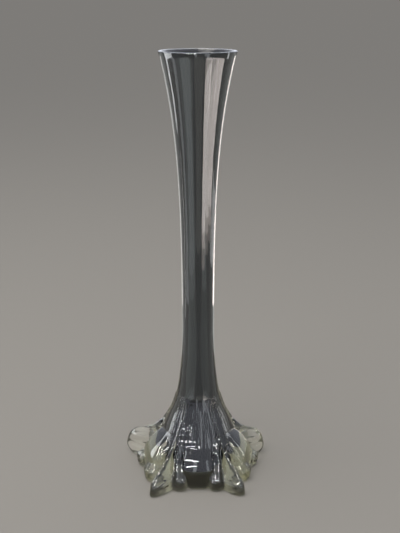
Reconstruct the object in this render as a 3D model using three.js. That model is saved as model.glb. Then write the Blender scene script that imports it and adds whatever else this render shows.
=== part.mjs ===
// Tall bud vase of cased glass, in the three gathers that it is made from: a black bubble that holds
// the water, a clear casing over it from the rim to the base, and a clear foot that was pressed over
// the lower end in a five-petal mould. Millimetres, +Z up, the front towards -Y. The origin is on the
// vase's axis, in the flat ground base that it stands on.
import * as THREE from "three";

// Whole vase
const HEIGHT = 400;
const RIM_RADIUS = 33.8;
const WAIST_RADIUS = 14.9;
const WAIST_HEIGHT = 150;
const LIP_ROUND = 0.8;
const WELD_GAP = 0.3;

// Black liner: a long throat that opens into the trumpet above and into a bulb below
const LINER_WALL = 1.5;
const LINER_RIM_RADIUS = 32.2;
const LINER_RIM_HEIGHT = 399;
const THROAT_RADIUS = 7.9;
const THROAT_HEIGHT = 125;
const BULB_RADIUS = 33;
const BULB_HEIGHT = 14;
const BULB_FLAT = 24;
const BULB_BOTTOM = 8.4;
const LINER_HANDLES = { bulb: [26.5, 31], throatLow: 46, throatHigh: 235, trumpet: [13.6, 320] };

// Clear casing, with its lower end inside the foot
const BELL_RADIUS = 36.5;
const BELL_HEIGHT = 17;
const BELL_FLAT = 24;
const BELL_BOTTOM = 4.6;
const CASING_HANDLES = { bell: [36, 46], waistLow: 58, waistHigh: 270, trumpet: [17.4, 335] };

// Foot: the wall between its petals, drawn in above the table
const FOOT_TOP = 76;
const FOOT_EDGE = 0.9;
const FOOT_BASE = BELL_BOTTOM - WELD_GAP;
const WALL_RADIUS = 46;
const WALL_BOTTOM = 5;
const WALL_UNDERCUT = 6.5;
const WALL_HANDLES = { low: [40.5, 36], high: [26, 57] };

// Foot: petals. Each is a thick tongue under a steep roof of two slopes, which meet in a ridge from the
// nose up to the bell. Each was tooled by hand, from the back one round by the left: how far it reaches,
// how far its nose is drawn in at the table, how far its ridge hangs at the tip, and how hollow its sides
// are.
const PETALS = [
  { reach: 1, tuck: 4, droop: 2, flute: 0.16 },
  { reach: 1.07, tuck: 6, droop: 0, flute: 0.16 },
  { reach: 1.02, tuck: 0.5, droop: 11, flute: 0 },
  { reach: 0.95, tuck: 0.5, droop: 11, flute: 0 },
  { reach: 0.86, tuck: 5, droop: 0, flute: 0.16 },
];
const BACK_TURN = 90;
const PETAL_RADIUS = 75;
const NOSE_TOP = [63, 28.4];
const NOSE_HANDLES = { low: [75.5, 14], high: [71.5, 25.1] };
const RIDGE_KNEE = [33.4, 50.5];
const RIDGE_HANDLES = { low: [55, 31.5], high: [43.5, 33] };
const KNEE_HANDLES = { low: [29.2, 57.8], high: [25, 65] };
const TUCK_HEIGHT = 10;
const TONGUE_MIDDLE = 50;
const TONGUE_HALF_WIDTH = 8.8;
const FLUTE_HEIGHT = 15;
const FLUTE_WIDTH = 4.5;
const ROOF_HALF_ANGLE = 16;
const ROOF_SLOPE = 0.27;
const ROOF_END = 110;
const RIDGE_ROUND = 0.6;
const CREASE = 1.2;

// Foot: the gaps between the petals, from the back left one round by the left: how far the knobs and the
// pillow in it reach, and how far the knobs are from the middles of the petals, in degrees
const GAPS = [
  { reach: 1.04, knobAngle: 20 },
  { reach: 1.08, knobAngle: 20.5 },
  { reach: 1, knobAngle: 14.5 },
  { reach: 1.06, knobAngle: 20.5 },
  { reach: 1.04, knobAngle: 20 },
];

// Foot: a knob at each side of a petal, and the pad that climbs the bell from it, nearer to the petal
const KNOB_DISTANCE = 47.3;
const KNOB_RADIUS = 8.8;
const KNOB_HEIGHT = 7.6;
const KNOB_DROP = 14;
const PAD_LOW = 13;
const PAD_TOP = 42;
const PAD_HALF_WIDTH = 6.2;
const PAD_TOP_HALF_WIDTH = 2.5;
const PAD_RISE = 10;
const PAD_FADE = 0.8;
const PAD_SINK = 1.5;
const PAD_DRIFT = 8;

// Foot: the pillow in the middle between two petals, with a nearly flat face that bends over to its top
const PILLOW_RADIUS = 50;
const PILLOW_DEPTH = 6;
const PILLOW_HALF_ANGLE = 15.5;
const PILLOW_HEIGHT = 14;
const PILLOW_BEND = 20;
const PILLOW_DROP = 15;
const PILLOW_SQUARENESS = 4;
const PILLOW_FLATNESS = 0.5;

// Fillet in the grooves of the foot
const FILLET = 1;

// Facets
const REVOLVE_SEGMENTS = 36;
const CURVE_STEPS = 8;
const CORNER_STEPS = 4;
const ARC_SHARE = 0.55;
const SAME_POINT = 1e-6;
const PETAL_STEPS = 12;
const RIDGE_CROWDING = 1.2;
const CREST_HEIGHT = 36;
const CREST_ROWS = 15;
const BELL_ROWS = 7;

// A curve of the section, as points from start to end. x is the radius and y the height.
function bend(start, startHandle, endHandle, end, steps) {
  const corners = [start, startHandle, endHandle, end].map(([r, z]) => new THREE.Vector2(r, z));
  return new THREE.CubicBezierCurve(...corners).getPoints(steps);
}

// The round corner from a flat bottom, at flat and bottom, to an upright side, at radius and height.
function corner(flat, bottom, radius, height) {
  const flatHandle = [THREE.MathUtils.lerp(flat, radius, ARC_SHARE), bottom];
  const sideHandle = [radius, THREE.MathUtils.lerp(height, bottom, ARC_SHARE)];
  return bend([flat, bottom], flatHandle, sideHandle, [radius, height], CORNER_STEPS);
}

// The points of several curves on end, without the doubled joints.
function joinRuns(...runs) {
  const points = runs.flat();
  return points.filter((point, i) => i === 0 || point.distanceTo(points[i - 1]) > SAME_POINT);
}

// The outline moved sideways: a positive distance moves it out of the glass that it bounds.
function offsetOutline(points, distance) {
  return points.map((point, i) => {
    const before = points[Math.max(i - 1, 0)];
    const after = points[Math.min(i + 1, points.length - 1)];
    const along = after.clone().sub(before).normalize();
    const outward = new THREE.Vector2(along.y, -along.x);
    const moved = point.clone().addScaledVector(outward, distance);
    return i === 0 ? new THREE.Vector2(0, moved.y) : moved;
  });
}

function revolve(points) {
  return new THREE.LatheGeometry(points, REVOLVE_SEGMENTS).rotateX(Math.PI / 2);
}

// Sections, each from the axis at the bottom up to the rim

const linerOutside = joinRuns(
  [new THREE.Vector2(0, BULB_BOTTOM)],
  corner(BULB_FLAT, BULB_BOTTOM, BULB_RADIUS, BULB_HEIGHT),
  bend([BULB_RADIUS, BULB_HEIGHT], LINER_HANDLES.bulb, [THROAT_RADIUS, LINER_HANDLES.throatLow],
    [THROAT_RADIUS, THROAT_HEIGHT], CURVE_STEPS),
  bend([THROAT_RADIUS, THROAT_HEIGHT], [THROAT_RADIUS, LINER_HANDLES.throatHigh], LINER_HANDLES.trumpet,
    [LINER_RIM_RADIUS, LINER_RIM_HEIGHT], CURVE_STEPS),
);
const linerInside = offsetOutline(linerOutside, -LINER_WALL);
const mouthRadius = linerInside.at(-1).x;

const casingOutside = joinRuns(
  [new THREE.Vector2(0, BELL_BOTTOM)],
  corner(BELL_FLAT, BELL_BOTTOM, BELL_RADIUS, BELL_HEIGHT),
  bend([BELL_RADIUS, BELL_HEIGHT], CASING_HANDLES.bell, [WAIST_RADIUS, CASING_HANDLES.waistLow],
    [WAIST_RADIUS, WAIST_HEIGHT], CURVE_STEPS),
  bend([WAIST_RADIUS, WAIST_HEIGHT], [WAIST_RADIUS, CASING_HANDLES.waistHigh], CASING_HANDLES.trumpet,
    [RIM_RADIUS, HEIGHT - LIP_ROUND], CURVE_STEPS),
);
const casingInside = offsetOutline(linerOutside, WELD_GAP);

// Black liner, open at the mouth

function blackLiner() {
  const rim = new THREE.Vector2(mouthRadius, LINER_RIM_HEIGHT);
  return revolve(joinRuns(linerOutside, [rim], linerInside.toReversed()));
}

// Clear casing, with a fire-polished lip that closes over the liner's edge

function clearCasing() {
  const crown = RIM_RADIUS - LIP_ROUND;
  const lipTop = bend([RIM_RADIUS, HEIGHT - LIP_ROUND], [RIM_RADIUS, HEIGHT - LIP_ROUND / 2],
    [crown + LIP_ROUND / 2, HEIGHT], [crown, HEIGHT], CORNER_STEPS - 1);
  const seat = LINER_RIM_HEIGHT + WELD_GAP;
  const lipInside = [
    new THREE.Vector2(mouthRadius + LIP_ROUND / 2, HEIGHT),
    new THREE.Vector2(mouthRadius, HEIGHT - LIP_ROUND / 2),
    new THREE.Vector2(mouthRadius, seat),
    new THREE.Vector2(casingInside.at(-1).x, seat),
  ];
  return revolve(joinRuns(casingOutside, lipTop, lipInside, casingInside.toReversed()));
}

// Petal foot

const toRadians = THREE.MathUtils.degToRad;

// The radius of a section, which rises all the way, at a height.
function radiusAt(points, height) {
  const above = points.findIndex((point) => point.y >= height);
  if (above <= 0) return points.at(above).x;
  const low = points[above - 1];
  const high = points[above];
  return THREE.MathUtils.mapLinear(height, low.y, high.y, low.x, high.x);
}

const halfPitch = 180 / PETALS.length;
const fineSteps = 8 * CURVE_STEPS;
const bellOutside = offsetOutline(casingOutside, WELD_GAP);
const footEdge = [radiusAt(bellOutside, FOOT_TOP) + FOOT_EDGE, FOOT_TOP];
const wallFoot = [WALL_RADIUS, WALL_BOTTOM];
const wallOutside = bend(wallFoot, WALL_HANDLES.low, WALL_HANDLES.high, footEdge, fineSteps);
const noseOutside = bend([PETAL_RADIUS, 0], NOSE_HANDLES.low, NOSE_HANDLES.high, NOSE_TOP, fineSteps);
const ridgeOutside = joinRuns(
  bend(NOSE_TOP, RIDGE_HANDLES.low, RIDGE_HANDLES.high, RIDGE_KNEE, fineSteps),
  bend(RIDGE_KNEE, KNEE_HANDLES.low, KNEE_HANDLES.high, footEdge, fineSteps),
);
const roofEnd = new THREE.Vector2(ROOF_END, NOSE_TOP[1] - (ROOF_END - NOSE_TOP[0]) * ROOF_SLOPE);

// A section of a petal that hangs lower the farther it is from the bell.
function drooped(points, droop) {
  const reach = PETAL_RADIUS - RIDGE_KNEE[0];
  return points.map(({ x, y }) => (
    new THREE.Vector2(x, y - (droop * Math.max(0, x - RIDGE_KNEE[0])) / reach)
  ));
}

const petals = PETALS.map((petal) => ({
  ...petal,
  nose: drooped(joinRuns(noseOutside, ridgeOutside), petal.droop),
  roof: drooped([roofEnd, ...ridgeOutside], petal.droop),
}));

// The greater of two radii, with a fillet in the groove where they meet.
function filleted(one, other, fillet) {
  return (one + other + Math.hypot(one - other, fillet)) / 2;
}

// A round swelling: across and up are 0 in its middle and 1 at its rim, past which it falls away.
function swelling(rim, depth, across, up, squareness = 2) {
  const inside = 1 - Math.abs(across) ** squareness - Math.abs(up) ** squareness;
  return rim + depth * Math.sign(inside) * Math.sqrt(Math.abs(inside));
}

function wallRadius(height) {
  const undercut = WALL_UNDERCUT * Math.max(0, 1 - height / WALL_BOTTOM) ** 2;
  return radiusAt(wallOutside, Math.max(height, WALL_BOTTOM)) - undercut;
}

// A tongue from above: straight sides out to its middle, and half an ellipse from there to the tip.
function tongueRadius(angle, halfWidth, tip) {
  if (Math.tan(angle) > halfWidth / TONGUE_MIDDLE || tip <= TONGUE_MIDDLE) {
    return Math.min(tip, halfWidth / Math.max(Math.sin(angle), SAME_POINT));
  }
  const length = tip - TONGUE_MIDDLE;
  const square = (Math.cos(angle) / length) ** 2 + (Math.sin(angle) / halfWidth) ** 2;
  const half = (TONGUE_MIDDLE * Math.cos(angle)) / length ** 2;
  const rest = (TONGUE_MIDDLE / length) ** 2 - 1;
  return (half + Math.sqrt(half ** 2 - square * rest)) / square;
}

function petalRadius(angle, height, { reach, tuck, droop, flute, nose, roof }) {
  const wall = wallRadius(height);
  const drawnIn = tuck * Math.max(0, 1 - height / TUCK_HEIGHT) ** 2;
  const tip = wall + reach * Math.max(0, radiusAt(nose, height) - wall) - drawnIn;
  const hollow = flute * Math.exp(-(((height - FLUTE_HEIGHT + droop / 2) / FLUTE_WIDTH) ** 2));
  const tongue = tongueRadius(angle, TONGUE_HALF_WIDTH * (1 - hollow), tip);

  const roofTip = wall + reach * Math.max(0, radiusAt(roof, height) - wall);
  const ridgeRound = RIDGE_ROUND / PETAL_RADIUS;
  const aside = Math.hypot(Math.sin(angle), ridgeRound) - ridgeRound;
  const slopes = roofTip / (Math.cos(angle) + aside / Math.tan(toRadians(ROOF_HALF_ANGLE)));
  return (tongue + slopes - Math.hypot(tongue - slopes, CREASE)) / 2;
}

function knobRadius(angle, height, { reach, knobAngle }) {
  const across = ((angle - toRadians(knobAngle)) * KNOB_DISTANCE) / KNOB_RADIUS;
  const up = (height - KNOB_HEIGHT) / (height > KNOB_HEIGHT ? KNOB_RADIUS : KNOB_DROP);
  return reach * swelling(KNOB_DISTANCE, KNOB_RADIUS, across, up);
}

// How far up the pads a height is, from 0 to 1.
function padClimb(height) {
  return THREE.MathUtils.clamp((height - PAD_LOW) / (PAD_TOP - PAD_LOW), 0, 1);
}

// A pad gets narrower and flatter as it climbs, and ends flush with the bell.
function padRadius(angle, height, { reach, knobAngle }) {
  const climb = padClimb(height);
  const middle = toRadians(knobAngle - PAD_DRIFT * climb);
  const halfWidth = THREE.MathUtils.lerp(PAD_HALF_WIDTH, PAD_TOP_HALF_WIDTH, climb);
  const depth = PAD_SINK + PAD_RISE * reach * (1 - climb) ** PAD_FADE;
  const rim = wallRadius(height) - PAD_SINK;
  return swelling(rim, depth, ((angle - middle) * (rim + depth)) / halfWidth, 0);
}

function pillowRadius(angle, height, { reach }) {
  const aside = toRadians(halfPitch) - angle;
  const across = aside / toRadians(PILLOW_HALF_ANGLE);
  const above = Math.max(0, height - PILLOW_HEIGHT);
  const below = Math.max(0, PILLOW_HEIGHT - height) / PILLOW_DROP;
  const bent = PILLOW_RADIUS * reach - above ** 2 / (2 * PILLOW_BEND);
  const face = bent / Math.cos(aside) ** PILLOW_FLATNESS;
  return swelling(face - PILLOW_DEPTH, PILLOW_DEPTH, across, below, PILLOW_SQUARENESS);
}

// The foot's outer radius at an angle from the middle of the nearest petal, on the side of one gap.
function footRadius(angle, height, petal, gap) {
  let radius = filleted(wallRadius(height), petalRadius(angle, height, petal), FILLET);
  radius = filleted(radius, padRadius(angle, height, gap), FILLET);
  radius = filleted(radius, knobRadius(angle, height, gap), FILLET);
  return filleted(radius, pillowRadius(angle, height, gap), FILLET);
}

// The columns of points round the foot, closer together towards the ridges
function footColumns() {
  return petals.flatMap((petal, index) => {
    const middle = BACK_TURN + index * 2 * halfPitch;
    return Array.from({ length: 2 * PETAL_STEPS }, (_, step) => {
      const share = (step - PETAL_STEPS) / PETAL_STEPS;
      const aside = halfPitch * Math.sign(share) * Math.abs(share) ** RIDGE_CROWDING;
      const gap = GAPS.at(aside > 0 ? index : index - 1);
      return { middle, aside, petal, gap };
    });
  });
}

// How far a column is from the middle of its petal at a height, in degrees. It leans as the pads do, so
// that the grooves run along the columns.
function leanedAside(height, { aside, gap: { knobAngle } }) {
  const angle = Math.abs(aside);
  const share = angle < knobAngle ? angle / knobAngle : (halfPitch - angle) / (halfPitch - knobAngle);
  return Math.sign(aside) * (angle - PAD_DRIFT * padClimb(height) * share);
}

function footHeights() {
  const heights = [];
  for (let row = 0; row <= CREST_ROWS; row += 1) {
    heights.push((CREST_HEIGHT * row) / CREST_ROWS);
  }
  for (let row = 1; row <= BELL_ROWS; row += 1) {
    heights.push(CREST_HEIGHT + (FOOT_TOP - CREST_HEIGHT) * (row / BELL_ROWS));
  }
  return heights;
}

// The foot as rings of points: up the petals, over the thin edge and down the bell's seat.
function petalFoot() {
  const columns = footColumns();
  const outside = footHeights().map((height) => columns.map((column) => {
    const aside = leanedAside(height, column);
    const radius = footRadius(toRadians(Math.abs(aside)), height, column.petal, column.gap);
    return { radius, height, turn: toRadians(column.middle + aside) };
  }));
  const seatLine = bellOutside.filter((point) => point.x > 0 && point.y < FOOT_TOP);
  seatLine.push(new THREE.Vector2(radiusAt(bellOutside, FOOT_TOP), FOOT_TOP));
  const seat = seatLine.toReversed().map((point) => outside.at(-1).map(({ turn }) => (
    { radius: point.x, height: point.y, turn }
  )));
  const rings = [...outside, ...seat];

  const positions = rings.flatMap((ring) => ring.flatMap(({ radius, height, turn }) => [
    radius * Math.cos(turn),
    radius * Math.sin(turn),
    height,
  ]));
  const baseCentre = positions.length / 3;
  const seatCentre = baseCentre + 1;
  positions.push(0, 0, 0, 0, 0, FOOT_BASE);

  const faces = [];
  columns.forEach((column, i) => {
    const next = (i + 1) % columns.length;
    rings.slice(1).forEach((ring, row) => {
      const low = row * columns.length;
      const high = low + columns.length;
      faces.push(low + i, low + next, high + next, low + i, high + next, high + i);
    });
    const last = (rings.length - 1) * columns.length;
    faces.push(baseCentre, next, i, seatCentre, last + i, last + next);
  });

  const geometry = new THREE.BufferGeometry();
  geometry.setAttribute("position", new THREE.Float32BufferAttribute(positions, 3));
  geometry.setIndex(faces);
  return geometry;
}

// Finishes

const blackGlass = new THREE.MeshStandardMaterial({ color: 0x101014, roughness: 0.06, metalness: 0 });
const clearGlass = new THREE.MeshStandardMaterial({ color: 0xe8ecdf, roughness: 0.04, metalness: 0 });

function piece(name, geometry, material) {
  const mesh = new THREE.Mesh(geometry, material);
  mesh.name = name;
  return mesh;
}

const vase = new THREE.Group();
vase.add(
  piece("black_liner", blackLiner(), blackGlass),
  piece("clear_casing", clearCasing(), clearGlass),
  piece("petal_foot", petalFoot(), clearGlass),
);

export default vase;
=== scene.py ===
# Tall bud vase of cased glass: a black bubble inside clear glass, on a clear foot with five petals.
import math
import bpy
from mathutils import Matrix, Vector


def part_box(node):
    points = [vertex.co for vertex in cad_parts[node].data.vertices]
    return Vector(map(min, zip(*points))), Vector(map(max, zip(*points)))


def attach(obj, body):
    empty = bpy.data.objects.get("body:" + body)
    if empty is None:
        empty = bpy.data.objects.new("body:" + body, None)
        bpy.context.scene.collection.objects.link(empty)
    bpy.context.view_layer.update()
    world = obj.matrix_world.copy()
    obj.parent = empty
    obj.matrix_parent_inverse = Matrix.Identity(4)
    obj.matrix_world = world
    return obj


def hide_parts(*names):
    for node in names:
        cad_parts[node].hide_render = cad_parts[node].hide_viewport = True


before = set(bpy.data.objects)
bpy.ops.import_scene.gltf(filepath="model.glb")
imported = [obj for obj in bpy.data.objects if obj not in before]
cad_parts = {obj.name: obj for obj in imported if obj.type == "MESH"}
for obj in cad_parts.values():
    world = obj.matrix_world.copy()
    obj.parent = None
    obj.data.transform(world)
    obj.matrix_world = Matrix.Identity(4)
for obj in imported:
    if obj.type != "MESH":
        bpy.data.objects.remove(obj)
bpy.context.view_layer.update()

mm = 0.001
tiny = 1e-9           # keeps a division away from zero
scene = bpy.context.scene


# Small tools

def bend(start, startHandle, endHandle, end, steps):
    # points (radius, height) along one smooth curve of a section
    corners = (start, startHandle, endHandle, end)
    points = []
    for i in range(steps + 1):
        t = i / steps
        weights = ((1 - t) ** 3, 3 * t * (1 - t) ** 2, 3 * t * t * (1 - t), t ** 3)
        points.append(tuple(sum(w * c[k] for w, c in zip(weights, corners)) for k in (0, 1)))
    return points


def joined(*runs):
    # several curves on end, without the doubled points between them
    points = []
    for run in runs:
        for point in run:
            if not points or math.dist(point, points[-1]) > tiny:
                points.append(point)
    return points


def radiusAt(section, height):
    # the radius of a section that rises all the way
    for low, high in zip(section, section[1:]):
        if high[1] >= height:
            share = (height - low[1]) / max(high[1] - low[1], tiny)
            return low[0] + (high[0] - low[0]) * max(0, share)
    return section[-1][0]


def offset(section, distance):
    # the section moved sideways, away from the axis when distance is positive
    moved = []
    for i, point in enumerate(section):
        before = Vector(section[max(i - 1, 0)])
        after = Vector(section[min(i + 1, len(section) - 1)])
        along = (after - before).normalized()
        place = Vector(point) + Vector((along.y, -along.x)) * distance
        moved.append((max(0, place.x), place.y))
    return moved


def ease(value):
    # from 0 to 1, slow at both ends
    value = min(1, max(0, value))
    return value * value * (3 - 2 * value)


def mix(one, other, share):
    return one + (other - one) * share


def hexColor(text):
    # an sRGB hex value as linear red, green, blue and alpha
    linear = []
    for i in (1, 3, 5):
        c = int(text[i:i + 2], 16) / 255
        linear.append(c / 12.92 if c <= 0.04045 else ((c + 0.055) / 1.055) ** 2.4)
    return (*linear, 1)


def addNode(tree, kind, settings=None, links=None):
    # settings: attribute or socket to its value
    # links: the socket's name or number to the output that feeds it
    node = tree.nodes.new(kind)
    for name, value in (settings or {}).items():
        if name in node.inputs:
            node.inputs[name].default_value = value
        else:
            setattr(node, name, value)
    for socket, source in (links or {}).items():
        tree.links.new(source, node.inputs[socket])
    return node


def newMaterial(name):
    material = bpy.data.materials.new(name)
    material.use_nodes = True
    material.node_tree.nodes.clear()
    return material, material.node_tree


def spinSection(name, section, steps):
    # one point is pulled along the section, and the line is spun round the vase's axis
    mergeDistance = 0.004 * mm
    bpy.ops.object.select_all(action="DESELECT")
    bpy.ops.mesh.primitive_plane_add(size=2 * mm)
    piece = bpy.context.object
    piece.name = name
    piece.data.name = name
    bpy.ops.object.mode_set(mode="EDIT")
    bpy.ops.mesh.select_all(action="SELECT")
    bpy.ops.mesh.merge(type="CENTER")
    place = Vector((0, 0, 0))
    for i, (radius, height) in enumerate(section):
        step = Vector((radius, 0, height)) * mm - place
        place = place + step
        if i == 0:
            bpy.ops.transform.translate(value=step)
        else:
            bpy.ops.mesh.extrude_region_move(TRANSFORM_OT_translate={"value": step})
    bpy.ops.mesh.select_all(action="SELECT")
    bpy.ops.mesh.spin(steps=steps, angle=2 * math.pi, center=(0, 0, 0), axis=(0, 0, 1))
    bpy.ops.mesh.select_all(action="SELECT")
    bpy.ops.mesh.remove_doubles(threshold=mergeDistance)
    bpy.ops.mesh.normals_make_consistent(inside=False)
    bpy.ops.object.mode_set(mode="OBJECT")
    bpy.ops.object.shade_smooth()
    return piece


# Sections of the vase: (radius, height) in millimetres, from the axis at the bottom up to the rim

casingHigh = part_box("clear_casing")[1] / mm
linerLow, linerHigh = (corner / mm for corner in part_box("black_liner"))
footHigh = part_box("petal_foot")[1] / mm

stem = {
    "height": casingHigh.z,
    "rimRadius": 33.8,
    "lipRound": 0.8,
    "lipSteps": 6,
    "lipEnd": 0.1,            # how far above the hidden face the lip's inner side ends
    "waist": (14.9, 150),
    "waistLow": 58,           # heights of the handles below and above the waist
    "waistHigh": 270,
    "bell": (36.5, 17),
    "bellHandle": (36, 46),
    "bellSteps": 60,
    "trumpetHandle": (17.4, 335),
    "trumpetSteps": 40,
    "hiddenSteps": 20,        # of each curve of the hidden face, inside the black layer
}

liner = {
    "bottom": linerLow.z,
    "rim": (32.2, linerHigh.z),
    "rimCrown": 0.1,          # how far the middle of the rim stands up
    "wall": 1.5,
    "throat": (9.2, 125),
    "throatLow": 46,          # heights of the handles below and above the throat
    "throatHigh": 235,
    "trumpetHandle": (13.6, 320),
    "bulb": (33, 14),
    "bulbHandle": (26.5, 31),
    "bulbFlat": 24,           # radius of the flat bottom
    "cornerShare": 0.55,      # how far the handles of the bottom's round corner reach
    "steps": 24,              # of each curve
    "levelNormal": 0.99,      # a face whose normal stands at least this upright counts as level
    "spin": 128,
}

waistRadius = stem["waist"][0]
lipStart = (stem["rimRadius"], stem["height"] - stem["lipRound"])
mouthRadius = liner["rim"][0] - liner["wall"]
stemSection = joined(
    bend(stem["bell"], stem["bellHandle"],
         (waistRadius, stem["waistLow"]), stem["waist"], stem["bellSteps"]),
    bend(stem["waist"], (waistRadius, stem["waistHigh"]),
         stem["trumpetHandle"], lipStart, stem["trumpetSteps"]),
)


def linerSection(steps):
    # the outside of the black layer: flat bottom, round corner, bulb, throat and trumpet
    bulbRadius, bulbHeight = liner["bulb"]
    throatRadius = liner["throat"][0]
    bottom = liner["bottom"]
    flat = liner["bulbFlat"]
    share = liner["cornerShare"]
    flatHandle = (mix(flat, bulbRadius, share), bottom)
    sideHandle = (bulbRadius, mix(bulbHeight, bottom, share))
    return joined(
        [(0, bottom), (flat / 2, bottom)],
        bend((flat, bottom), flatHandle, sideHandle, liner["bulb"], steps // 2),
        bend(liner["bulb"], liner["bulbHandle"],
             (throatRadius, liner["throatLow"]), liner["throat"], steps),
        bend(liner["throat"], (throatRadius, liner["throatHigh"]),
             liner["trumpetHandle"], liner["rim"], steps),
    )


def lipSection():
    # over the round lip, from the casing's outside to its mouth
    side, bottom = lipStart
    lipRound = stem["lipRound"]
    turns = [math.pi / 2 * i / stem["lipSteps"] for i in range(stem["lipSteps"] + 1)]
    outer = [(side - lipRound * (1 - math.cos(turn)), bottom + lipRound * math.sin(turn))
             for turn in turns]
    inner = [(mouthRadius + lipRound * (1 - math.sin(turn)), bottom + lipRound * math.cos(turn))
             for turn in turns]
    return outer + inner


# Black bubble, the inner layer of the cased glass

def makeLiner():
    outside = linerSection(liner["steps"])
    inside = offset(outside, -liner["wall"])
    rimRadius, rimHeight = outside[-1]
    rimWidth = rimRadius - inside[-1][0]
    rimTop = (rimRadius - rimWidth / 2, rimHeight + liner["rimCrown"])
    section = joined(outside, [rimTop], reversed(inside))
    return spinSection("black_bubble", section, liner["spin"])


def onWaterSide(face):
    # true for the rim and the inside, which holds the water
    if abs(face.normal.z) >= liner["levelNormal"]:
        return face.normal.z > 0
    return face.normal.x * face.center.x + face.normal.y * face.center.y < 0


# Clear casing and petal foot, which are one body of glass once they are fused

foot = {
    "top": footHigh.z,
    "edge": 0.15,             # how far the foot's thin upper edge stands out of the stem
    "stemGap": 1,             # the stem's own rings start this far above that edge
    "wall": (46, 5),
    "wallLow": (40.5, 36),
    "wallHigh": (26, 57),
    "wallSteps": 120,
    "undercut": 6.5,          # how far the wall draws in at the table
    "fillet": 1,              # in the grooves between the forms

    # petals: a tongue with a nose, under a roof whose ridge climbs over a knee to the upper edge
    "reaches": (1, 1.07, 1.02, 0.95, 0.86),      # back petal, then round by the left
    "droops": (2, 0, 11, 11, 0),                 # how far each ridge hangs down at its tip
    "tucks": (4, 6, 0.5, 0.5, 5),                # how far each nose is drawn in at the table
    "flutes": (0.16, 0.16, 0, 0, 0.16),          # how hollow each one's sides are
    "tuckHeight": 10,
    "tipRadius": 75,
    "noseLow": (75.5, 14),
    "noseHigh": (71.5, 25.1),
    "noseTop": (63, 28.4),
    "ridgeLow": (55, 31.5),
    "ridgeHigh": (43.5, 33),
    "knee": (33.4, 50.5),
    "kneeLow": (29.2, 57.8),
    "kneeHigh": (25, 65),
    "petalSteps": 80,         # of each curve
    "tongueMiddle": 50,       # radius where the tongue's round end starts
    "tongueHalfWidth": 8.8,
    "fluteHeight": 15,
    "fluteWidth": 4.5,
    "ripple": 0.03,           # tooling ripples along the tongue's sides, as a share of its width
    "ripplePitch": 7,
    "roofHalfAngle": 16,      # of the roof's two slopes, seen from above
    "roofSlope": 0.27,
    "roofEnd": 110,           # the roof runs on to this radius, past the tongue
    "ridgeRound": 0.6,
    "crease": 1.2,            # round of the edge between roof and tongue

    # gaps, from the one at the back left: a pillow, and on each side of it a knob and a pad
    "gapReaches": (1.04, 1.08, 1, 1.06, 1.04),
    "knobAngles": (20, 20.5, 14.5, 20.5, 20),    # degrees from the petal's ridge
    "knobDistance": 47.3,
    "knobRadius": 8.8,
    "knobHeight": 7.6,
    "knobDrop": 14,           # radius of the knob's lower half, which the table cuts
    "crown": 0.8,             # height of the folds on the knob's upper half
    "crownFolds": 9,
    "crownSpan": (-0.2, 1.2),                    # in knob radii, from its middle upwards
    "crownFade": 0.5,
    "padLow": 13,             # pads climb from here and fade into the bell at padTops
    "padTops": (42, 34, 42, 34, 42),
    "padHalfWidth": 6.2,
    "padTopHalfWidth": 2.5,
    "padRise": 10,
    "padFade": 0.8,
    "padSink": 1.5,           # how deep a pad's rim lies in the wall
    "padFold": 0.5,           # height of the folds along the pads
    "padRipple": 0.12,        # tooling ripples across the pads
    "padRipplePitch": 5,
    "padDrift": 8,            # degrees that a pad leans towards the ridge
    "pillowRadius": 50,
    "pillowHalfAngle": 15.5,
    "pillowTopHalfAngle": 19.5,
    "pillowWiden": (8, 18),   # heights between which it grows to its upper width
    "pillowHeight": 14,
    "pillowBend": 20,         # radius of the bend from the pillow's face over to its top
    "pillowDrop": 15,
    "pillowDepth": 6,
    "pillowSquareness": 4,
    "pillowFlatness": 0.5,    # 0 is round about the vase's axis, 1 is flat
    "ribs": 45,               # fine ribs round the bell
    "ribHeights": (0.15, 0, 0.15, 0, 0.15),
    "ribLow": 28,             # they grow from here to ribFull, and fade from ribFade to the top
    "ribFull": 42,
    "ribFade": 62,
    "ribClear": 5,            # degrees beside a ridge in which they fade out

    # mesh
    "spin": 400,
    "baseRings": 6,
    "wallRings": ((26, 40), (37, 40), (footHigh.z, 34)),   # up to this height, this many
    "meshTolerance": 0.02,
}

footEdge = (radiusAt(stemSection, foot["top"]) + foot["edge"], foot["top"])
wallSection = bend(foot["wall"], foot["wallLow"], foot["wallHigh"], footEdge, foot["wallSteps"])
noseSection = bend((foot["tipRadius"], 0), foot["noseLow"], foot["noseHigh"], foot["noseTop"],
                   foot["petalSteps"])
ridgeSection = joined(
    bend(foot["noseTop"], foot["ridgeLow"], foot["ridgeHigh"], foot["knee"], foot["petalSteps"]),
    bend(foot["knee"], foot["kneeLow"], foot["kneeHigh"], footEdge, foot["petalSteps"]),
)
roofDrop = (foot["roofEnd"] - foot["noseTop"][0]) * foot["roofSlope"]
roofSection = [(foot["roofEnd"], foot["noseTop"][1] - roofDrop)] + ridgeSection


def drooped(section, droop):
    # the section hangs down from the knee outwards, by droop at the tip
    kneeRadius = foot["knee"][0]
    reach = foot["tipRadius"] - kneeRadius
    return [(radius, height - droop * max(0, radius - kneeRadius) / reach)
            for radius, height in section]


noses = [drooped(joined(noseSection, ridgeSection), droop) for droop in foot["droops"]]
roofs = [drooped(roofSection, droop) for droop in foot["droops"]]
petals = len(foot["reaches"])
halfPitch = math.pi / petals


def filleted(one, other, fillet):
    # the greater radius, with a fillet in the groove where the two meet
    return (one + other + math.hypot(one - other, fillet)) / 2


def swelling(rim, depth, across, up, squareness=2):
    # across and up are 0 in the middle of the swelling and 1 at its rim, past which it falls away
    inside = 1 - abs(across) ** squareness - abs(up) ** squareness
    return rim + depth * math.copysign(math.sqrt(abs(inside)), inside)


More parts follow.
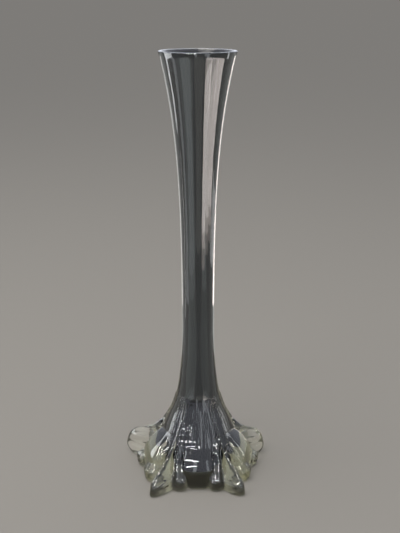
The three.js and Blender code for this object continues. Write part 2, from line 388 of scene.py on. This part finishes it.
def wallRadius(height):
    # the plain round wall behind the petals, knobs, pads and pillows
    low = foot["wall"][1]
    undercut = foot["undercut"] * max(0, 1 - height / low) ** 2
    return radiusAt(wallSection, max(height, low)) - undercut


# Each form's own radius, at an angle from its petal's ridge and at a height

def tongueRadius(angle, height, tip, petal):
    # from above: straight sides out to the tongue's middle, and from there half an ellipse
    middle = foot["tongueMiddle"]
    fluteUp = (height - foot["fluteHeight"] + foot["droops"][petal] / 2) / foot["fluteWidth"]
    flute = foot["flutes"][petal]
    ripple = foot["ripple"] * math.sin(2 * math.pi * height / foot["ripplePitch"])
    halfWidth = foot["tongueHalfWidth"] * (1 - flute * math.exp(-fluteUp ** 2) + ripple)
    if math.tan(angle) > halfWidth / middle or tip <= middle:
        return min(tip, halfWidth / max(math.sin(angle), tiny))
    length = tip - middle     # the line from the vase's axis leaves the ellipse at the greater root
    square = (math.cos(angle) / length) ** 2 + (math.sin(angle) / halfWidth) ** 2
    half = middle * math.cos(angle) / length ** 2
    rest = (middle / length) ** 2 - 1
    return (half + math.sqrt(half * half - square * rest)) / square


def petalRadius(angle, height, wall, petal):
    # a thick tongue under a steep roof of two slopes that meet in its ridge
    reach = foot["reaches"][petal]
    tuck = foot["tucks"][petal] * max(0, 1 - height / foot["tuckHeight"]) ** 2
    tip = wall + reach * (max(wall, radiusAt(noses[petal], height)) - wall) - tuck
    roofTip = wall + reach * (max(wall, radiusAt(roofs[petal], height)) - wall)
    ridgeRound = foot["ridgeRound"] / foot["tipRadius"]
    aside = math.hypot(math.sin(angle), ridgeRound) - ridgeRound
    roof = roofTip / (math.cos(angle) + aside / math.tan(math.radians(foot["roofHalfAngle"])))
    tongue = tongueRadius(angle, height, tip, petal)
    return (tongue + roof - math.hypot(tongue - roof, foot["crease"])) / 2


def knobRadius(angle, height, gap):
    # a round knob with folds on its upper half
    up = height - foot["knobHeight"]
    up = up / (foot["knobRadius"] if up > 0 else foot["knobDrop"])
    aside = angle - math.radians(foot["knobAngles"][gap])
    across = aside * foot["knobDistance"] / foot["knobRadius"]
    knob = swelling(foot["knobDistance"], foot["knobRadius"], across, up)
    crownLow, crownHigh = foot["crownSpan"]
    crown = foot["crown"] * ease((up - crownLow) / foot["crownFade"])
    crown *= ease((crownHigh - up) / foot["crownFade"])
    return foot["gapReaches"][gap] * knob + crown * math.cos(across * foot["crownFolds"])


def padClimb(height, gap):
    # 0 at the foot of a pad, 1 where it fades into the bell
    low = foot["padLow"]
    return min(1, max(0, height - low) / (foot["padTops"][gap] - low))


def padLean(height, gap):
    return math.radians(foot["padDrift"]) * padClimb(height, gap)


def padRadius(angle, height, wall, gap):
    # a pad that climbs from the knob towards the petal's ridge
    climb = padClimb(height, gap)
    halfWidth = mix(foot["padHalfWidth"], foot["padTopHalfWidth"], climb)
    rise = foot["padRise"] * foot["gapReaches"][gap] * (1 - climb) ** foot["padFade"]
    depth = foot["padSink"] + rise
    rim = wall - foot["padSink"]
    aside = angle - math.radians(foot["knobAngles"][gap]) + padLean(height, gap)
    across = aside * (rim + depth) / halfWidth
    fold = foot["padFold"] * math.cos(2 * math.pi * across)
    ripple = foot["padRipple"] * math.sin(2 * math.pi * height / foot["padRipplePitch"])
    return swelling(rim, depth, across, 0) + fold + ripple


def pillowRadius(angle, height, gap):
    # a squarish pillow in the middle between two petals, wider above than at the table
    aside = halfPitch - angle
    widenLow, widenHigh = foot["pillowWiden"]
    widen = ease((height - widenLow) / (widenHigh - widenLow))
    halfAngle = mix(foot["pillowHalfAngle"], foot["pillowTopHalfAngle"], widen)
    up = height - foot["pillowHeight"]
    down = max(0, -up) / foot["pillowDrop"]
    face = foot["pillowRadius"] * foot["gapReaches"][gap]
    face = face - max(0, up) ** 2 / (2 * foot["pillowBend"])
    face = face / math.cos(aside) ** foot["pillowFlatness"]
    depth = foot["pillowDepth"]
    across = aside / math.radians(halfAngle)
    return swelling(face - depth, depth, across, down, foot["pillowSquareness"])


def ribHeight(angle, height, gap):
    # fine ribs, which lean towards the ridges as the pads do
    size = ease((height - foot["ribLow"]) / (foot["ribFull"] - foot["ribLow"]))
    size *= ease((foot["top"] - height) / (foot["top"] - foot["ribFade"]))
    size *= foot["ribHeights"][gap] * ease(math.degrees(angle) / foot["ribClear"])
    return size * math.cos((angle + padLean(height, gap)) * foot["ribs"])


def footRadius(angle, height, wall, petal, gap):
    forms = (
        petalRadius(angle, height, wall, petal),
        padRadius(angle, height, wall, gap),
        knobRadius(angle, height, gap),
        pillowRadius(angle, height, gap),
    )
    radius = wall
    for form in forms:
        radius = filleted(radius, form, foot["fillet"])
    return radius + ribHeight(angle, height, gap)


def footHeights():
    # rings of the mesh, closest where the petals' crests lie
    heights = [0]
    for top, rings in foot["wallRings"]:
        bottom = heights[-1]
        heights += [bottom + (top - bottom) * i / rings for i in range(1, rings + 1)]
    return heights


def shapeFoot(piece, heights):
    # each point of the foot's round wall and of its base moves out or in to its own radius
    walls = {round(height, 4): wallRadius(height) for height in heights}
    pitch = 2 * halfPitch
    for vertex in piece.data.vertices:
        x, y, z = vertex.co / mm
        height = round(z, 4)
        if height not in walls:
            continue
        wall = walls[height]
        onWall = abs(math.hypot(x, y) - wall) < foot["meshTolerance"]
        if not onWall and height > 0:
            continue
        fromBack = (math.atan2(y, x) - math.pi / 2) % (2 * math.pi)
        petal = round(fromBack / pitch) % petals
        angle = (fromBack - petal * pitch + math.pi) % (2 * math.pi) - math.pi
        gap = petal if angle > 0 else (petal - 1) % petals
        grow = footRadius(abs(angle), z, wall, petal, gap) / wall
        vertex.co.x *= grow
        vertex.co.y *= grow


def makeClearGlass():
    # up the outside, over the lip, and down again inside the black layer's wall, which hides it
    heights = footHeights()
    wallLine = [(wallRadius(height), height) for height in heights]
    rings = foot["baseRings"]
    base = [(wallLine[0][0] * i / rings, 0) for i in range(rings)]
    above = [point for point in stemSection if point[1] > foot["top"] + foot["stemGap"]]
    hidden = offset(linerSection(stem["hiddenSteps"]), -liner["wall"] / 2)
    lip = lipSection() + [(mouthRadius, hidden[-1][1] + stem["lipEnd"])]
    section = joined(base, wallLine, above, lip, reversed(hidden))
    piece = spinSection("clear_casing_and_foot", section, foot["spin"])
    shapeFoot(piece, heights)
    return piece


# Materials

def blackGlass(name, fused):
    # opaque black soda-lime glass, blown. Fire polished inside, and without any gloss of its own
    # where the clear casing is fused to it, because the two glasses bend light alike.
    swirl = 40 * mm           # size of the faint clouds in the black
    material, tree = newMaterial(name)
    place = addNode(tree, "ShaderNodeTexCoord")
    cloud = addNode(tree, "ShaderNodeTexNoise", {"Scale": 1 / swirl, "Detail": 2.0},
                    {"Vector": place.outputs["Object"]})
    tone = addNode(tree, "ShaderNodeMixRGB", {
        "Color1": hexColor("#0a0a0d"),
        "Color2": hexColor("#131219"),
    }, {"Fac": cloud.outputs["Fac"]})
    shader = addNode(tree, "ShaderNodeBsdfPrincipled", {
        "Roughness": 0.4 if fused else 0.05,
        "IOR": 1.5,
        "Specular IOR Level": 0.0 if fused else 0.5,
    }, {"Base Color": tone.outputs["Color"]})
    addNode(tree, "ShaderNodeOutputMaterial", None, {"Surface": shader.outputs["BSDF"]})
    return material


def clearGlass(name, roughness):
    # clear soda-lime glass, pressed and fire polished: smooth, with slight waves from the hot
    # tooling, and a yellow-green body colour that shows only where the glass is thick. Where it is
    # ground, the surface is matt and blurs what is seen through it.
    waveRound = 14 * mm       # size of the tooling waves round the vase
    waveStretch = 5           # how much longer they are upwards
    waveDepth = 0.6 * mm
    material, tree = newMaterial(name)
    place = addNode(tree, "ShaderNodeTexCoord")
    drawn = addNode(tree, "ShaderNodeMapping", {"Scale": (1, 1, 1 / waveStretch)},
                    {"Vector": place.outputs["Object"]})
    wave = addNode(tree, "ShaderNodeTexNoise", {"Scale": 1 / waveRound, "Detail": 1.0},
                   {"Vector": drawn.outputs["Vector"]})
    bump = addNode(tree, "ShaderNodeBump", {"Strength": 0.12, "Distance": waveDepth},
                   {"Height": wave.outputs["Fac"]})
    shader = addNode(tree, "ShaderNodeBsdfPrincipled", {
        "Base Color": (1, 1, 1, 1),
        "Roughness": roughness,
        "IOR": 1.52,
        "Transmission Weight": 1.0,
    }, {"Normal": bump.outputs["Normal"]})
    body = addNode(tree, "ShaderNodeVolumeAbsorption", {
        "Color": hexColor("#ecebc8"),
        "Density": 16.0,
    })
    addNode(tree, "ShaderNodeOutputMaterial", None, {
        "Surface": shader.outputs["BSDF"],
        "Volume": body.outputs["Volume"],
    })
    return material


def floorPaper(name):
    # plain grey paper: matt, so that it shows the vase's shadow and no gloss
    material, tree = newMaterial(name)
    shader = addNode(tree, "ShaderNodeBsdfPrincipled", {
        "Base Color": hexColor("#a8a5a1"),
        "Roughness": 0.8,
        "Specular IOR Level": 0.0,
    })
    addNode(tree, "ShaderNodeOutputMaterial", None, {"Surface": shader.outputs["BSDF"]})
    return material


# Build the pieces

bubble = makeLiner()
bubble.data.materials.append(blackGlass("black_glass_fused_side", True))
bubble.data.materials.append(blackGlass("black_glass_polished_side", False))
for face in bubble.data.polygons:
    face.material_index = 1 if onWaterSide(face) else 0
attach(bubble, "root")
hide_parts("black_liner")
print("black bubble:", len(bubble.data.polygons), "faces")

clear = makeClearGlass()
clear.data.materials.append(clearGlass("clear_pressed_glass", 0.0))
clear.data.materials.append(clearGlass("clear_ground_glass", 0.4))
for face in clear.data.polygons:
    onBase = face.center.z < foot["meshTolerance"] * mm
    face.material_index = 1 if onBase else 0
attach(clear, "root")
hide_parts("clear_casing", "petal_foot")
print("clear casing and foot:", len(clear.data.polygons), "faces")


# Stage, camera and light

view = {
    "lens": 54.03,
    "sensor": 36,              # millimetres on the picture's long side
    "pitch": 18.61,            # degrees below the horizon
    "place": (0.0019, -0.700, 0.4428),
}

studio = {
    "floorSize": 2000,         # metres, so that its end is at the horizon
    "floorDrop": 0.5 * mm,     # under the vase's base
    "world": "#c0c0c0",
    "gloss": {"color": "#e4e9f4", "bright": 1.4},   # the room as the glass mirrors it
    "through": "#8f8f8a",                           # the room as it is seen through the glass
    "key": {"place": (-0.5, -0.3, 1.7), "size": (1.2, 1.2), "watts": 12, "color": "#fffaf2"},
    # panels lie on the floor and face up, and the stem reflects them: degrees from the camera's
    # side to the right, nearest and farthest distance and width in metres, brightness and colour
    "panels": {
        "groundFront": (0, 0.25, 3, 6, 0.55, "#e2ebe9"),
        "groundBack": (180, 0.25, 3, 6, 0.7, "#e6ece9"),
        "groundLeft": (-90, 0.25, 3, 0.5, 0.7, "#e6ece9"),
        "groundRight": (90, 0.25, 3, 0.5, 0.6, "#e6ece9"),
        "groundNear": (0, 0.12, 0.25, 0.3, 0.3, "#e2ebe9"),
        "windowLeft": (36, 0.72, 1.05, 0.28, 3.2, "#fdf5f2"),
        "windowLeftFade": (36, 0.66, 1.05, 0.28, 2.4, "#fdf1ea"),
        "windowLeftEnd": (36, 0.58, 1.05, 0.26, 1.6, "#fdeee4"),
        "windowMiddle": (57, 0.78, 1.05, 0.36, 3, "#fdf5f2"),
        "windowMiddleFade": (57, 0.72, 1.05, 0.36, 2.2, "#fdf1ea"),
        "windowMiddleEnd": (57, 0.64, 1.05, 0.34, 1.3, "#fdeee4"),
        "windowRight": (79, 0.83, 1.05, 0.36, 3.2, "#fdf5f2"),
        "windowRightFade": (79, 0.77, 1.05, 0.36, 2.2, "#fdf1ea"),
        "windowRightEnd": (79, 0.7, 1.05, 0.34, 1.3, "#fdeee4"),
        "nearLeft": (-42, 0.25, 1.05, 0.4, 0.55, "#dfeeea"),
        "nearRight": (44, 0.25, 1.05, 0.34, 0.35, "#dfeeea"),
        "farLeft": (-42, 0.47, 1.05, 0.46, 0.45, "#eaeef2"),
        "topLeft": (-46, 0.56, 1.05, 0.7, 0.6, "#e4eef0"),
        "topFront": (4, 0.64, 1.05, 0.4, 0.6, "#ecece4"),
        "farRight": (44, 0.5, 1.05, 0.34, 0.5, "#eaeef2"),
        "leftDim": (-80, 0.45, 1.05, 0.2, 1.5, "#eef3f8"),
        "leftLine": (-102, 0.4, 1.05, 0.05, 3, "#f4f2f2"),
        "rightDim": (112, 0.6, 0.97, 0.5, 2, "#f4f4f4"),
        "rightRear": (148, 0.435, 2.6, 0.3, 4, "#fff1ea"),
        "leftRear": (-150, 0.435, 2.6, 0.16, 1.8, "#fff6f4"),
    },
    "panelLift": 0.1 * mm,     # from the floor to the first panel
    "panelStep": 0.01 * mm,    # and from each to the next
    # strips stand upright round the vase, and the bell reflects them: degrees, distance, width,
    # height, brightness and colour
    "strips": {
        "bellLeft": (-97, 1.1, 0.65, 0.9, 7, "#f2f5f8"),
        "bellFront": (-5, 1.1, 0.12, 0.9, 3, "#eef2f8"),
        "bellRight": (28, 1.1, 0.3, 0.9, 2.5, "#eef2f8"),
        "bellRidge": (101, 1.1, 0.16, 0.9, 5, "#f2f5f8"),
    },
    # tubes hang in front: place, length, width, lean and turn in degrees, brightness
    "tubes": {
        "tubeNear": ((-1.35, -2.0, 1.95), 2.8, 0.18, 48, -18, 45),
        "tubeFar": ((-1.35, -2.6, 1.02), 2.6, 0.18, 70, 16, 45),
        "tubeOver": ((-0.2, -0.7, 1.9), 0.8, 0.08, 20, 12, 60),
    },
    "tubeColor": "#ffffff",
}


def addFloor():
    place = (0, 0, -studio["floorDrop"])
    bpy.ops.object.select_all(action="DESELECT")
    bpy.ops.mesh.primitive_plane_add(size=studio["floorSize"], location=place)
    floor = bpy.context.object
    floor.name = "floor"
    floor.data.materials.append(floorPaper("pale_paper"))


def addCamera():
    data = bpy.data.cameras.new("camera")
    data.lens = view["lens"]
    data.sensor_width = view["sensor"]
    camera = bpy.data.objects.new("camera", data)
    camera.location = view["place"]
    camera.rotation_euler = (math.radians(90 - view["pitch"]), 0, 0)
    scene.collection.objects.link(camera)
    scene.camera = camera


def addLamp(name, size, watts, color, place, turn):
    data = bpy.data.lights.new(name, "AREA")
    data.shape = "RECTANGLE"
    data.size, data.size_y = size
    data.energy = watts
    data.color = hexColor(color)[:3]
    lamp = bpy.data.objects.new(name, data)
    lamp.location = place
    lamp.rotation_euler = turn
    lamp.visible_camera = False
    scene.collection.objects.link(lamp)
    return lamp


def addGlossLamp(name, size, bright, color, place, turn):
    # a lamp of even brightness that shows only in the gloss of the glass
    lamp = addLamp(name, size, bright * math.pi * size[0] * size[1], color, place, turn)
    lamp.visible_diffuse = False
    lamp.visible_transmission = False


def roundVase(side, distance, height):
    # a place that is turned from the camera's side to the right, about the vase's axis
    return (distance * math.sin(side), -distance * math.cos(side), height)


def addLamps():
    key = studio["key"]
    aim = (-Vector(key["place"])).to_track_quat("-Z", "Y").to_euler()
    addLamp("key", key["size"], key["watts"], key["color"], key["place"], aim)

    height = studio["panelLift"] - studio["floorDrop"]
    for name, (side, near, far, width, bright, color) in studio["panels"].items():
        side = math.radians(side)
        place = roundVase(side, (near + far) / 2, height)
        addGlossLamp(name, (width, far - near), bright, color, place, (math.pi, 0, side))
        height += studio["panelStep"]
    for name, (side, distance, width, tall, bright, color) in studio["strips"].items():
        side = math.radians(side)
        place = roundVase(side, distance, tall / 2)
        addGlossLamp(name, (width, tall), bright, color, place, (math.pi / 2, 0, side))
    for name, (place, length, width, lean, side, bright) in studio["tubes"].items():
        turn = (math.radians(lean), 0, math.radians(side))
        addGlossLamp(name, (length, width), bright, studio["tubeColor"], place, turn)


def addWorld():
    # grey light all round, which the glass mirrors brighter and lets through darker, as a room with
    # pale walls on the camera's side does
    world = bpy.data.worlds.new("studio")
    world.use_nodes = True
    tree = world.node_tree
    tree.nodes.clear()
    light = addNode(tree, "ShaderNodeBackground", {"Color": hexColor(studio["world"])})
    gloss = addNode(tree, "ShaderNodeBackground", {
        "Color": hexColor(studio["gloss"]["color"]),
        "Strength": studio["gloss"]["bright"],
    })
    through = addNode(tree, "ShaderNodeBackground", {"Color": hexColor(studio["through"])})
    path = addNode(tree, "ShaderNodeLightPath")
    mirrored = addNode(tree, "ShaderNodeMixShader", None, {
        "Fac": path.outputs["Is Glossy Ray"],
        1: light.outputs["Background"],
        2: gloss.outputs["Background"],
    })
    seen = addNode(tree, "ShaderNodeMixShader", None, {
        "Fac": path.outputs["Is Transmission Ray"],
        1: mirrored.outputs["Shader"],
        2: through.outputs["Background"],
    })
    addNode(tree, "ShaderNodeOutputWorld", None, {"Surface": seen.outputs["Shader"]})
    scene.world = world


addFloor()
addCamera()
addLamps()
addWorld()
scene.view_settings.view_transform = "Standard"
print("stage, camera and light are set")
